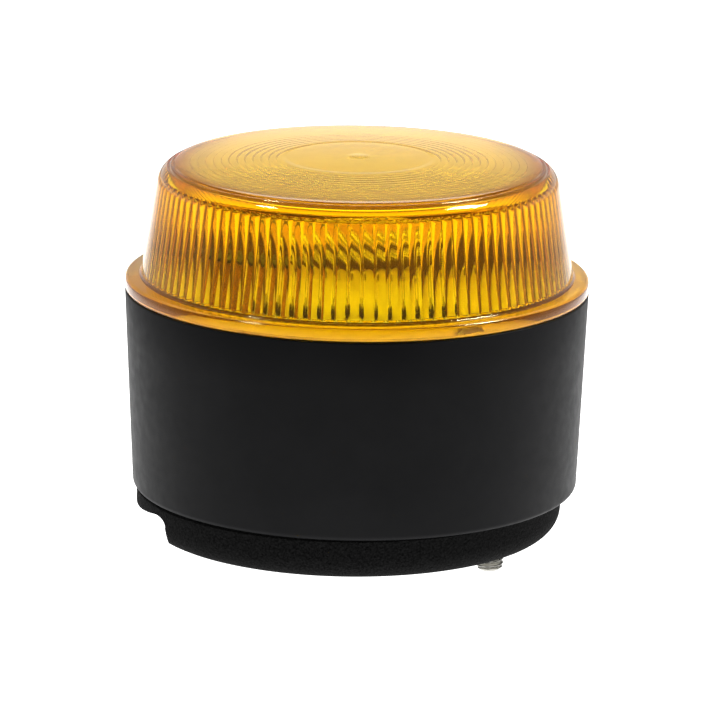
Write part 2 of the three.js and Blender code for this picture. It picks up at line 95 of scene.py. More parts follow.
def ring(r, z, sides):
    """Points of a level circle; r and z may each be one number or one for each side."""
    turn = np.arange(sides) * TAU / sides
    return np.stack([r * np.cos(turn), r * np.sin(turn), np.broadcast_to(z, sides)], axis=-1)


def centre(z):
    """A ring of one point on the axis."""
    return np.array([[0.0, 0.0, z]])


def join(first, n, second, m):
    """Faces between two rings of n and m points whose vertices start at those numbers."""
    if n == m == 1:
        return []
    if n == 1 or m == 1:
        hub, start, count = (first, second, m) if n == 1 else (second, first, n)
        return [(hub, start + i, start + (i + 1) % count) for i in range(count)]
    if n > m:
        return join(second, m, first, n)
    step = m // n
    faces = []
    for i in range(n):
        edge = [second + (step * i + j) % m for j in range(step, -1, -1)]
        faces.append((first + i, first + (i + 1) % n, *edge))
    return faces


def loft(name, rings, loop=False):
    """A surface through rings of points; a ring of one point closes an end, loop joins last to first."""
    starts = np.cumsum([0] + [len(points) for points in rings]).tolist()
    faces = []
    count = len(rings)
    for k in range(count if loop else count - 1):
        after = (k + 1) % count
        faces += join(starts[k], len(rings[k]), starts[after], len(rings[after]))
    mesh = bpy.data.meshes.new(name)
    mesh.from_pydata(np.concatenate(rings).tolist(), [], faces)
    outward(mesh)
    return link(name, mesh)


def outward(mesh):
    """Turns the faces of a closed mesh outwards."""
    work = bmesh.new()
    work.from_mesh(mesh)
    bmesh.ops.recalc_face_normals(work, faces=work.faces)
    if work.calc_volume(signed=True) < 0:
        bmesh.ops.reverse_faces(work, faces=work.faces)
    work.to_mesh(mesh)
    work.free()


def revolve(name, profile, sides=96, x=0.0, y=0.0):
    """A solid of revolution from (radius, height) points in metres.

    A profile that starts and ends on the axis is closed there; any other is closed on itself.
    """
    rings = [ring(r, z, sides) if r > 0 else centre(z) for r, z in profile]
    made = loft(name, rings, loop=profile[0][0] > 0)
    made.data.transform(Matrix.Translation((x, y, 0)))
    return made


def arc(cx, cz, r, start, end, steps):
    """Points of an arc, its angles in degrees."""
    turns = [math.radians(start + (end - start) * i / steps) for i in range(steps + 1)]
    return [(cx + r * math.cos(t), cz + r * math.sin(t)) for t in turns]


def moved(made, place):
    """Moves a piece made on the axis to a place in plan."""
    made.data.transform(Matrix.Translation((place.x, place.y, 0)))
    return made


def in_mm(profile):
    """A profile given in mm, in metres."""
    return [(r * MM, z * MM) for r, z in profile]


def hexagon(across, sides):
    """The radius of a hexagon in each direction, its flats `across` apart and one of them facing +X."""
    turn = np.arange(sides) * TAU / sides + TAU / 12
    return across / 2 / np.cos(turn % (TAU / 6) - TAU / 12)


def cut(made, tools, operation="DIFFERENCE"):
    """Takes the tool objects' volumes out of a piece, or adds them, and removes the tools."""
    for tool in tools:
        modifier = made.modifiers.new("cut", "BOOLEAN")
        modifier.operation = operation
        modifier.solver = "EXACT"
        modifier.object = tool
    evaluated = made.evaluated_get(bpy.context.evaluated_depsgraph_get())
    mesh = bpy.data.meshes.new_from_object(evaluated)
    made.modifiers.clear()
    made.data = mesh
    for tool in tools:
        bpy.data.objects.remove(tool)
    return made


def peg(r, low, high, x=0.0, y=0.0, sides=48):
    """An upright cylinder used as a cutting tool."""
    return revolve("tool", [(0, low), (r, low), (r, high), (0, high)], sides, x, y)


def block(width, depth, low, high, x=0.0, y=0.0, turned=0.0):
    """An upright box used as a cutting tool, turned about its own middle."""
    corners = [(width, depth), (-width, depth), (-width, -depth), (width, -depth)]
    rings = [np.array([[cx / 2, cy / 2, z] for cx, cy in corners]) for z in (low, high)]
    made = loft("tool", [centre(low), *rings, centre(high)])
    made.data.transform(Matrix.Translation((x, y, 0)) @ Matrix.Rotation(turned, 4, "Z"))
    return made


def curve_through(points, steps=6):
    """A smooth path through the points, with that many steps between each two."""
    places = [Vector(p) for p in points]
    places = [places[0] * 2 - places[1], *places, places[-1] * 2 - places[-2]]
    path = []
    for a, b, c, d in zip(places, places[1:], places[2:], places[3:]):
        for i in range(steps):
            t = i / steps
            path.append(0.5 * (2 * b + (c - a) * t + (2 * a - 5 * b + 4 * c - d) * t**2
                               + (3 * b - a - 3 * c + d) * t**3))
    path.append(places[-2])
    return path


def pipe_rings(path, r, sides=20):
    """Rings of that radius square to the path."""
    rings, side = [], None
    for k, place in enumerate(path):
        ahead = (path[min(k + 1, len(path) - 1)] - path[max(k - 1, 0)]).normalized()
        side = ahead.orthogonal() if side is None else side - ahead * side.dot(ahead)
        side.normalize()
        other = ahead.cross(side)
        turns = np.arange(sides) * TAU / sides
        rings.append(np.array([place + (side * math.cos(t) + other * math.sin(t)) * r for t in turns]))
    return rings


def rod(name, path, r, sides=20):
    """A solid rod along a path."""
    ends = [np.array([path[0]]), np.array([path[-1]])]
    return loft(name, [ends[0], *pipe_rings(path, r, sides), ends[1]])


# ---- Materials ----


class Finish:
    """A Principled material and short ways to add what varies over its surface."""

    def __init__(self, name, color, roughness, **sockets):
        self.material = bpy.data.materials.new(name)
        self.material.use_nodes = True
        self.tree = self.material.node_tree
        self.shader = self.tree.nodes["Principled BSDF"]
        self.output = self.tree.nodes["Material Output"]
        self.place = self.tree.nodes.new("ShaderNodeTexCoord").outputs["Object"]
        self.shader.inputs["Base Color"].default_value = (*color, 1)
        self.shader.inputs["Roughness"].default_value = roughness
        for socket, value in sockets.items():
            self.shader.inputs[socket.replace("_", " ")].default_value = value

    def node(self, kind, operation=None, **inputs):
        """A node with its inputs set or linked; Input_0 is the first input."""
        made = self.tree.nodes.new(kind)
        if operation:
            made.operation = operation
        for socket, value in inputs.items():
            is_number = socket.startswith("Input_")
            target = made.inputs[int(socket[6:]) if is_number else socket.replace("_", " ")]
            if isinstance(value, bpy.types.NodeSocket):
                self.tree.links.new(value, target)
            else:
                target.default_value = value
        return made

    def noise(self, scale, detail=3.0):
        """Noise over the piece; scale counts features per metre."""
        made = self.node("ShaderNodeTexNoise", Vector=self.place, Scale=scale, Detail=detail)
        return made.outputs["Fac"]

    def along(self, direction):
        """How far a point lies in that direction, in metres from the origin."""
        dot = self.node("ShaderNodeVectorMath", "DOT_PRODUCT", Input_0=self.place, Input_1=direction)
        return dot.outputs["Value"]

    def cells(self, scale):
        """Distance to the nearest of many scattered points, for pores and speckles."""
        return self.node("ShaderNodeTexVoronoi", Vector=self.place, Scale=scale).outputs["Distance"]

    def below(self, source, limit):
        """1 where the source is under the limit and 0 elsewhere."""
        return self.math("LESS_THAN", source, limit)

    def above(self, source, limit):
        """1 where the source is over the limit and 0 elsewhere."""
        return self.math("GREATER_THAN", source, limit)

    def math(self, operation, first, second):
        """The result of a math node on two numbers or sockets."""
        return self.node("ShaderNodeMath", operation, Input_0=first, Input_1=second).outputs[0]

    def between(self, source, low, high):
        """1 where the source lies between the limits and 0 elsewhere."""
        return self.math("MULTIPLY", self.above(source, low), self.below(source, high))

    def spread(self, source, low, high, from_low=0.3, from_high=0.7):
        """Runs from low to high as the source rises through its own range."""
        span = self.node("ShaderNodeMapRange", Value=source, From_Min=from_low, From_Max=from_high,
                         To_Min=low, To_Max=high)
        return span.outputs["Result"]

    def vary_color(self, source, low, high):
        """Base colour that passes from low to high over the middle of the noise's range."""
        return self.color_stops(source, [(0.35, low), (0.65, high)])

    def color_stops(self, source, stops):
        """Base colour that passes through the (position, colour) stops as the source rises."""
        ramp = self.node("ShaderNodeValToRGB", Fac=source)
        elements = ramp.color_ramp.elements
        while len(elements) < len(stops):
            elements.new(1.0)
        for element, (position, color) in zip(elements, stops):
            element.position = position
            element.color = (*color, 1)
        self.tree.links.new(ramp.outputs["Color"], self.shader.inputs["Base Color"])
        return self

    def vary_roughness(self, source, low, high):
        """Roughness that runs from low to high as the source rises."""
        self.tree.links.new(self.spread(source, low, high), self.shader.inputs["Roughness"])
        return self

    def bump(self, source, height, strength=1.0):
        """Raises the surface by up to height metres."""
        made = self.node("ShaderNodeBump", Height=source, Distance=height, Strength=strength)
        before = self.shader.inputs["Normal"]
        if before.is_linked:
            self.tree.links.new(before.links[0].from_socket, made.inputs["Normal"])
        self.tree.links.new(made.outputs["Normal"], before)
        return self

    def absorb(self, color, density):
        """Fills the piece with a clear tint that lets that colour through."""
        volume = self.node("ShaderNodeVolumeAbsorption", Color=(*color, 1), Density=density)
        self.tree.links.new(volume.outputs["Volume"], self.output.inputs["Volume"])
        return self


def amber_lens_finish():
    """Clear amber plastic, polished all over but for the fine texture under its top and its flange, with
    a faint painted amber glow.
    """
    # Painted light: a faint amber emission makes the lens glow a little, though it is no lamp.
    made = Finish("amber_lens", (1.0, 0.97, 0.80), 0.03, IOR=1.49, Transmission_Weight=1.0,
                  Specular_Tint=(1.0, 0.85, 0.4, 1), Emission_Color=(1.0, 0.48, 0.06, 1),
                  Emission_Strength=0.02)
    flat = made.node("ShaderNodeVectorMath", "MULTIPLY", Input_0=made.place, Input_1=(1, 1, 0))
    reach = made.node("ShaderNodeVectorMath", "LENGTH", Input_0=flat.outputs[0]).outputs["Value"]
    height = made.node("ShaderNodeSeparateXYZ", Vector=made.place).outputs["Z"]
    ceiling_r, skirt_in, skirt_out = 38.2 * MM, 43.6 * MM, 44.8 * MM
    ceiling = made.between(height, lens.high.z - 4.6 * MM, lens.high.z - 2.0 * MM)
    under_top = made.math("MULTIPLY", ceiling, made.below(reach, ceiling_r))
    low_down = made.below(height, FLANGE_Z + 0.05 * MM)
    under_flange = made.math("MULTIPLY", low_down, made.above(reach, skirt_out))
    polish = made.spread(made.noise(900), 0.015, 0.05)
    top_texture = made.math("MULTIPLY", under_top, 0.28)
    flange_texture = made.math("MULTIPLY", under_flange, 0.5)
    texture = made.math("ADD", top_texture, flange_texture)
    made.tree.links.new(made.math("ADD", polish, texture), made.shader.inputs["Roughness"])
    round_skirt = made.between(reach, skirt_in, skirt_out)
    on_skirt = made.math("MULTIPLY", made.below(height, FLANGE_Z), round_skirt)
    flange_haze = made.math("MULTIPLY", under_flange, 0.6)
    haze = made.math("ADD", flange_haze, made.math("MULTIPLY", on_skirt, 0.15))
    clear = made.math("SUBTRACT", 1.0, haze)
    made.tree.links.new(clear, made.shader.inputs["Transmission Weight"])
    # Painted shade: a narrow brown zone in the groove round the disc on top stands in for the shade that
    # falls in it.
    pale, painted_groove_shade, deep = (1.0, 1.0, 0.9), (0.62, 0.3, 0.08), (1.0, 0.88, 0.5)
    zones = [(38.8, pale), (38.95, painted_groove_shade), (39.65, painted_groove_shade), (39.8, deep)]
    made.color_stops(reach, [(r * MM, color) for r, color in zones])
    made.bump(made.noise(130, 1.0), 0.00002)
    return made.absorb((0.998, 0.974, 0.0), 2000.0).material


def black_plastic_finish():
    """The housing's satin moulded plastic, with a very fine grain."""
    made = Finish("black_plastic", (0.007, 0.007, 0.0075), 0.45, Specular_IOR_Level=0.06)
    made.vary_color(made.noise(60, 4.0), (0.006, 0.006, 0.0065), (0.008, 0.008, 0.0085))
    made.vary_roughness(made.noise(400, 4.0), 0.42, 0.5)
    return made.bump(made.noise(7000, 2.0), 0.000008).material


def foam_finish():
    """Closed-cell foam: near-black, matt, with fine pores and paler specks."""
    made = Finish("foam", (0.005, 0.005, 0.005), 0.95, Specular_IOR_Level=0.08)
    made.vary_color(made.noise(2500, 3.0), (0.001, 0.001, 0.001), (0.009, 0.009, 0.009))
    made.bump(made.cells(2200), 0.0002, 0.6)
    made.bump(made.noise(1400, 3.0), 0.0002)
    return made.material


def rubber_finish():
    """Matt black rubber."""
    made = Finish("rubber", (0.015, 0.015, 0.015), 0.7)
    made.vary_roughness(made.noise(900), 0.6, 0.8)
    return made.bump(made.noise(3000), 0.00002).material


def metal_finish(name, color, roughness):
    """Bare or plated metal, a little duller in patches."""
    made = Finish(name, color, roughness, Metallic=1.0)
    made.vary_color(made.noise(500, 4.0), [c * 0.85 for c in color], color)
    made.vary_roughness(made.noise(1500, 4.0), roughness * 0.8, roughness * 1.3)
    return made.bump(made.noise(6000), 0.000004).material


def moulded_finish(name, color, roughness):
    """Plastic, paint or tape of one colour, a little darker in patches."""
    made = Finish(name, color, roughness)
    made.vary_color(made.noise(300), [c * 0.93 for c in color], color)
    made.vary_roughness(made.noise(900), roughness * 0.85, roughness * 1.15)
    return made.bump(made.noise(5000), 0.00001).material


def glass_finish():
    """The flash tube's clear drawn glass."""
    made = Finish("clear_glass", (0.99, 0.995, 1.0), 0.0, IOR=1.47, Transmission_Weight=1.0)
    made.vary_roughness(made.noise(900), 0.0, 0.02)
    return made.material


finishes = {
    "amber_lens": amber_lens_finish(),
    "black_plastic": black_plastic_finish(),
    "foam": foam_finish(),
    "rubber": rubber_finish(),
    "stud_steel": metal_finish("stud_steel", (0.50, 0.49, 0.45), 0.3),
    "zinc_steel": metal_finish("zinc_steel", (0.66, 0.66, 0.64), 0.3),
    "green_board": moulded_finish("green_board", (0.02, 0.14, 0.05), 0.4),
    "component_black": moulded_finish("component_black", (0.02, 0.02, 0.02), 0.5),
    "terminal_green": moulded_finish("terminal_green", (0.04, 0.30, 0.10), 0.35),
    "white_plastic": moulded_finish("white_plastic", (0.80, 0.79, 0.75), 0.45),
    "wire_red": moulded_finish("wire_red", (0.45, 0.02, 0.02), 0.45),
    "wire_black": moulded_finish("wire_black", (0.02, 0.02, 0.02), 0.45),
    "capacitor_can": metal_finish("capacitor_can", (0.72, 0.73, 0.75), 0.35),
    "brass": metal_finish("brass", (0.70, 0.50, 0.22), 0.3),
    "ferrite": moulded_finish("ferrite", (0.03, 0.03, 0.032), 0.6),
    "yellow_tape": moulded_finish("yellow_tape", (0.70, 0.50, 0.05), 0.35),
    "white_reflector": moulded_finish("white_reflector", (0.92, 0.92, 0.90), 0.45),
    "clear_glass": glass_finish(),
    "copper_winding": metal_finish("copper_winding", (0.80, 0.42, 0.20), 0.25),
    "bright_wire": metal_finish("bright_wire", (0.72, 0.72, 0.70), 0.25),
}


def dress(made, slot_name, node, body="base"):
    """Gives a new piece its finish and its body, and hides the CAD node that it stands for."""
    made.data.materials.clear()
    made.data.materials.append(finishes[slot_name])
    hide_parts(node)
    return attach(made, body)


# ---- Lens ----

FLUTES = 108
SIDES = 2 * FLUTES
FLUTE_STEPS = 12
FLUTE_SIDES = FLUTES * FLUTE_STEPS
RIB_R = 2.6  # the radius of each rib's round face, mm
RIB_HALF = math.pi * 43 / FLUTES  # half of a rib's width, mm
DISC_R = 38.7  # the ringed disc on top, mm
HUB_R = 15.6  # the plain disc in its middle, mm


def disc_z(r):
    """Height in mm of the slightly crowned disc on top of the lens."""
    return lens.high.z / MM - 1.45 * (r / DISC_R) ** 2


def lens_outside():
    """The outer profile in mm, from under the flange up to the centre of the top."""
    rim, flange, top = lens.r / MM, FLANGE_Z / MM, FLANGE_TOP / MM
    wall_foot, shoulder, shoulder_z, round_r, fillet, sunk = 45.6, 42.4, 74.2, 4.0, 0.7, 0.04
    profile = arc(44.6, flange - 0.4, 0.4, 180, 90, 3)
    profile += arc(rim - 0.3, flange + 0.3, 0.3, -90, 0, 3)
    profile += arc(rim - 0.8, top - 0.8, 0.8, 0, 90, 6)
    profile += arc(wall_foot + fillet, top + fillet, fillet, -90, -180, 5)
    rise = shoulder_z - top - fillet
    profile += [(wall_foot + (shoulder - wall_foot) * t, top + fillet + rise * t) for t in (0.33, 0.67)]
    profile += arc(shoulder - round_r, shoulder_z, round_r, 8, 62, 10)
    # A groove, a fine bead and a second groove frame the disc.
    profile += [(40.05, 77.62), (39.85, 77.66), (39.7, 77.95), (39.5, 78.16), (39.25, 78.22)]
    profile += [(39.0, 78.1), (38.9, 78.12), (DISC_R, disc_z(DISC_R) - 0.1)]
    profile += [(float(r), disc_z(r)) for r in np.arange(38.3, HUB_R + 0.5, -1.2)]
    # The hub lies a little lower, and the mould's gate left a flat spot in its middle.
    profile += [(HUB_R + 0.15, disc_z(HUB_R)), (HUB_R - 0.15, disc_z(HUB_R) - sunk)]
    profile += [(float(r), disc_z(r) - sunk) for r in (15, 12, 9, 6, 3)]
    return profile + [(2.2, disc_z(2.2) - sunk), (1.8, disc_z(1.8)), (0, disc_z(0))]


def lug_rings():
    """Rings of the skirt's outside in metres, with three lugs that climb like a screw thread."""
    skirt_r, lug_r = 44.2 * MM, 46.1 * MM
    foot, height, half_lug = lens.low.z + 0.5 * MM, 1.8 * MM, math.radians(12)
    turn = np.arange(SIDES) * TAU / SIDES
    reach, shift = np.full(SIDES, skirt_r), np.zeros(SIDES)
    for middle in LUG_TURNS:
        along = (turn - middle + math.pi) % TAU - math.pi
        on_lug = np.abs(along) <= half_lug
        reach[on_lug] = lug_r
        shift[on_lug] = along[on_lug] * RAMP
    rings = [ring(skirt_r - 0.2 * MM, lens.low.z, SIDES), ring(skirt_r, lens.low.z + 0.05 * MM, SIDES)]
    rings += [ring(skirt_r, foot - 0.02 * MM + shift, SIDES), ring(reach, foot + shift, SIDES)]
    top = foot + height + shift
    rings += [ring(reach, top, SIDES), ring(skirt_r, top + 0.02 * MM, SIDES)]
    return rings


def lens_ceiling():
    """The underside of the top in mm: a plain middle and fine rounded rings out to the flutes."""
    base, pitch, deep, hub_fall, disc_fall = 77.7, 1.65, 0.006, 0.3, 1.2
    middle = (0.0, 2.5, 5.0, 7.5, 10.0, 12.5, HUB_R - 0.2)
    profile = [(r, base - hub_fall * (r / HUB_R) ** 2) for r in middle]
    bulge = (pitch**2 / 4 + deep**2) / (2 * deep)
    half = math.degrees(math.asin(pitch / 2 / bulge))
    for start in np.arange(HUB_R, 36.8, pitch):
        level = base - 0.1 - disc_fall * (start / DISC_R) ** 2
        middle_r = float(start) + pitch / 2
        profile += arc(middle_r, level - deep + bulge, bulge, 270 - half, 270 + half * 0.9, 5)
    return profile + arc(38.3, 74.9, 1.6, 84, 8, 8)


def rib_depth(across, along):
    """How far a rib's round face stands in from its root; along is 0 to 1 into its rounded end."""
    inside = np.maximum(RIB_R**2 - across**2 - (along * RIB_HALF) ** 2, 0.0)
    return np.maximum(np.sqrt(inside) - math.sqrt(RIB_R**2 - RIB_HALF**2), 0.0)


def lens_flutes():
    """Rings of the fluted wall in metres, from its top edge down to the throat."""
    top_z, foot_z, top_end, foot_end = 75.2, 54.7, 0.7, 0.6
    root_top, root_foot = 39.9, 43.6
    share = (np.arange(FLUTE_SIDES) % FLUTE_STEPS) / FLUTE_STEPS
    across = (2 * share - 1) * RIB_HALF
    steps = 6
    rows = [(top_z - top_end * i / steps, 1 - i / steps) for i in range(steps + 1)]
    straight = top_z - top_end - foot_z - foot_end
    rows += [(top_z - top_end - straight * i / steps, 0.0) for i in range(1, steps)]
    rows += [(foot_z + foot_end * (1 - i / steps), i / steps) for i in range(steps + 1)]
    rings = []
    for z, along in rows:
        root = root_top + (root_foot - root_top) * (top_z - z) / (top_z - foot_z)
        rings.append(ring((root - rib_depth(across, along)) * MM, z * MM, FLUTE_SIDES))
    return rings


def build_lens():
    """One closed surface: up the outside from the skirt, then back down the inside past the flutes."""
    skirt_z = lens.low.z / MM
    throat = [(43.3, 54.4), (42.7, 54.1), (42.4, 53.7), (42.4, skirt_z + 0.2), (42.6, skirt_z)]
    outside, ceiling = in_mm(lens_outside()), in_mm(lens_ceiling())
    rings = lug_rings()
    rings += [ring(r, z, SIDES) for r, z in outside[:-1]]
    rings += [centre(outside[-1][1]), centre(ceiling[0][1])]
    rings += [ring(r, z, SIDES) for r, z in ceiling[1:]]
    rings += lens_flutes()
    rings += [ring(r, z, SIDES) for r, z in in_mm(throat)]
    made = smooth(loft("lens", rings, loop=True), 40)
    return dress(made, "amber_lens", "lens_dome", "lens")


def build_seal():
    """The ring between lens and housing, of round section."""
    seal = Place("lens_seal")
    section = seal.height / 2
    made = revolve("seal", arc(seal.r - section, seal.z, section, 0, 345, 23), 192)
    return dress(smooth(made), "rubber", "lens_seal", "seal")


# ---- Housing, base pad and cable grommet ----


def ramp(inner, outer, low, height, middle, width):
    """Part of a ring that climbs like a screw thread as it goes round; all in metres and radians."""
    turns = np.linspace(middle - width / 2, middle + width / 2, 13)
    sections = []
    for turn in turns:
        z = low + (turn - middle) * RAMP
        corners = [(inner, z), (outer, z), (outer, z + height), (inner, z + height)]
        sections.append(np.array([[r * math.cos(turn), r * math.sin(turn), up] for r, up in corners]))
    ends = [sections[0].mean(axis=0, keepdims=True), sections[-1].mean(axis=0, keepdims=True)]
    return loft("ramp", [ends[0], *sections, ends[1]])


def housing_outline():
    """The shell's profile in mm: a tapered cup with a rounded foot and a crisp rim."""
    low, high, rim = housing.low.z / MM, housing.high.z / MM, housing.r / MM
    foot, edge, lip = 47.25, 1.2, 0.3
    profile = [(0, low), (foot - 1.6, low), *arc(foot - edge, low + edge, edge, -80, 0, 6)]
    rise = high - low - edge - lip
    profile += [(foot + (rim - foot) * t, low + edge + rise * t) for t in (0.25, 0.5, 0.75)]
    profile += arc(rim - lip, high - lip, lip, 0, 90, 3)
    inside_z = low + HOUSING_FLOOR
    return profile + [(46.4, high), (46.4, 44.0), (foot - 2.6, inside_z), (0, inside_z)]


def build_housing():
    """The cup with its ramps, screw posts and stud bosses."""
    floor = housing.low.z + HOUSING_FLOOR * MM
    board_low = Place("driver_board").low.z
    shell = revolve("housing_shell", in_mm(housing_outline()), SIDES)
    ramp_in, ramp_out, ramp_z, ramp_height = 44.5 * MM, 47.5 * MM, 47.6 * MM, 1.6 * MM
    width = math.radians(28)
    added = [ramp(ramp_in, ramp_out, ramp_z, ramp_height, turn, width) for turn in LUG_TURNS]
    added += [peg(4.2 * MM, floor - 0.5 * MM, board_low - 0.3 * MM, post.x, post.y) for post in posts]
    added += [peg(8 * MM, floor - 0.5 * MM, floor + 4 * MM, stud.x, stud.y) for stud in studs]
    cut(shell, added, "UNION")
    removed = [peg(POST_HOLE_R, floor, board_low + MM, post.x, post.y, 24) for post in posts]
    removed.append(peg(6 * MM, 0, floor + MM, grommet.x, grommet.y))
    for stud in studs:
        removed.append(peg(3.3 * MM, 0, floor + MM, stud.x, stud.y))
        pocket = [ring(hexagon(10.8 * MM, 48), z, 48) for z in (floor, floor + 5 * MM)]
        removed.append(moved(loft("tool", [centre(floor), *pocket, centre(floor + 5 * MM)]), stud))
    return dress(smooth(cut(shell, removed), 30), "black_plastic", "housing")


def build_pad():
    """The foam disc, with clear holes for studs and cable and a relief under its rim."""
    r, low, high, edge, corner = 45.2, pad.low.z / MM, pad.high.z / MM, 5.0, 0.4
    shift = 1.2 * MM
    under, over = -10 * MM, 20 * MM
    profile = [(0, low), (20, low), (30, low), (38, low), *arc(r - edge, low + edge, edge, -90, 0, 12)]
    profile += [(r, 7.0), (r, high - corner), (r - corner, high), (0, high)]
    made = revolve("pad", in_mm(profile), SIDES)
    away = Vector((math.cos(CABLE_TURN), math.sin(CABLE_TURN), 0))
    made.data.transform(Matrix.Translation(away * shift) @ Matrix.Rotation(CABLE_TURN - math.pi, 4, "Z"))
    tools = [peg(6.5 * MM, under, over, stud.x, stud.y) for stud in studs]
    tools.append(peg(9 * MM, under, over, grommet.x, grommet.y))
    tools.append(relief_tool(away, shift))
    dress(smooth(cut(made, tools), 30), "foam", "base_pad")


def relief_tool(away, shift):
    """The space under the pad's rim: deepest at its drafted inner wall, with rounded corners.

    The pad's cable side lies that way from the axis; the sizes are in mm and degrees.
    """
    outside, below, rim_x, rim_z = 60, -4, 46.5, 4.6
    wall_x, deep, round_in, round_out, draft, slope = 38.3, 7.0, 1.8, 1.0, 10, 20
    foot_x = wall_x - 0.7 - round_out
    outline = [(outside, below), (outside, rim_z), (rim_x, rim_z)]
    outline += arc(wall_x + round_in, deep - round_in, round_in, 90 - slope, 180 + draft, 8)
    outline += arc(foot_x, round_out, round_out, draft, -90, 7)
    outline.append((foot_x, below))
    side = Vector((-away.y, away.x, 0)) * outside * MM
    flat = np.array([away * (x + shift) + Vector((0, 0, z)) for x, z in in_mm(outline)])
    ends = [flat - np.array(side), flat + np.array(side)]
    faces = [tuple(range(len(outline))), tuple(range(2 * len(outline) - 1, len(outline) - 1, -1))]
    faces += join(0, len(outline), len(outline), len(outline))
    mesh = bpy.data.meshes.new("relief")
    mesh.from_pydata(np.concatenate(ends).tolist(), [], faces)
    outward(mesh)
    return link("relief", mesh)


def build_grommet():
    """A rubber bush with a rounded lip on each side of the floor."""
    low, high = grommet.low.z / MM, grommet.high.z / MM
    under, over = housing.low.z / MM - 0.3, housing.low.z / MM + HOUSING_FLOOR + 0.3
    bore, neck, lip = 3.5, 5.7, grommet.r / MM
    round_low, round_high, round_bore = 0.8, 0.7, 0.6
    profile = arc(lip - round_low, low + round_low, round_low, -90, 0, 6)
    profile += [(lip, under), (neck, under), (neck, over), (lip, over)]
    profile += arc(lip - round_high, high - round_high, round_high, 0, 90, 6)
    profile += arc(bore + round_bore, high - round_bore, round_bore, 90, 180, 6)
    profile += arc(bore + round_bore, low + round_bore, round_bore, 180, 270, 6)
    made = revolve("grommet", in_mm(profile), 64, grommet.x, grommet.y)
    return dress(smooth(made), "rubber", "cable_grommet")


# ---- Studs and fasteners ----


def thread_rings(r, pitch, low, high, sides, deep):
    """Rings of a right-handed thread between two heights, its first turns growing from a chamfer."""
    turn = np.arange(sides) / sides
    per_turn, chamfer = 12, 0.85 * MM
    count = int((high - low) / pitch * per_turn)
    rings = []
    for k in range(count + 1):
        z = low + (high - low) * k / count
        wave = np.abs(((z - low) / pitch - turn) % 1.0 * 2 - 1)
        # Crest and root each keep a flat a tenth of the pitch wide.
        crest = r - deep * np.clip(1.25 * wave - 0.125, 0, 1)
        rings.append(ring(np.minimum(crest, r - chamfer + z - low), z, sides))
    return rings


def build_stud(number, stud):
    """A stud with a real M6 thread, a chamfered tip and a hexagonal head."""
    sides, r, top, head = 48, 3 * MM, stud.high.z, 3.4 * MM
    neck = top - head
    flats = hexagon(10 * MM, sides)
    rings = [centre(stud.low.z), ring(2.1 * MM, stud.low.z, sides)]
    rings += thread_rings(r, MM, stud.low.z, neck, sides, 0.6 * MM)
    rings += [ring(4.6 * MM, neck, sides), ring(flats, neck + 0.2 * MM, sides)]
    rings += [ring(flats, top - 0.5 * MM, sides)]
    rings += [ring(np.minimum(flats, 5.1 * MM), top - 0.15 * MM, sides)]
    rings += [ring(4.7 * MM, top, sides), centre(top)]
    made = moved(loft(f"threaded_stud_{number}", rings), stud)
    return dress(smooth(made, 50), "stud_steel", f"stud_{number}")


def build_nut(number):
    """A thin hexagon nut, chamfered above and below."""
    node = f"stud_nut_{number}"
    place = Place(node)
    flats, bore, sides = hexagon(2 * place.r, 48), 3.05 * MM, 48
    chamfered = np.minimum(flats, place.r * 1.04)
    half = place.height / 2
    outline = [(bore + 0.3 * MM, half), (place.r * 0.93, half), (chamfered, half - 0.15 * MM)]
    outline += [(flats, half - 0.45 * MM)]
    above = [ring(r, place.z + rise, sides) for r, rise in outline]
    below = [ring(r, place.z - rise, sides) for r, rise in reversed(outline)]
    inside = [ring(bore, place.z + rise, sides) for rise in (0.3 * MM - half, half - 0.3 * MM)]
    made = moved(loft(f"nut_{number}", [*above, *below, *inside], loop=True), place)
    return dress(smooth(made), "zinc_steel", node)


def build_flat_ring(name, node, bore, edge, slot_name):
    """A washer or sealing ring with softened edges, as large as its CAD node."""
    place = Place(node)
    low, high, r = place.low.z, place.high.z, place.r
    profile = arc(r - edge, low + edge, edge, -90, 0, 4) + arc(r - edge, high - edge, edge, 0, 90, 4)
    profile += [(bore + edge, high), (bore, high - edge), (bore, low + edge), (bore + edge, low)]
    made = revolve(name, profile, 64, place.x, place.y)
    return dress(smooth(made), slot_name, node)


def build_spacer(number, post):
    """A hexagonal brass pillar with a threaded stem below and a tapped hole on top."""
    sides, stem = 48, 7 * MM
    shoulder, top = post.low.z + stem, post.high.z
    flats = hexagon(7 * MM, sides)
    rings = [centre(post.low.z), ring(1.0 * MM, post.low.z, sides)]
    rings += thread_rings(1.5 * MM, 0.5 * MM, post.low.z, shoulder, sides, 0.3 * MM)
    rings += [ring(3.3 * MM, shoulder, sides), ring(flats, shoulder + 0.3 * MM, sides)]
    rings += [ring(flats, top - 0.3 * MM, sides), ring(3.3 * MM, top, sides)]
    rings += [ring(1.9 * MM, top, sides), ring(1.6 * MM, top - 0.3 * MM, sides)]
    rings += [ring(1.6 * MM, top - stem, sides), centre(top - stem - 0.5 * MM)]
    made = moved(loft(f"pillar_{number}", rings), post)
    return dress(smooth(made), "brass", f"spacer_{number}")


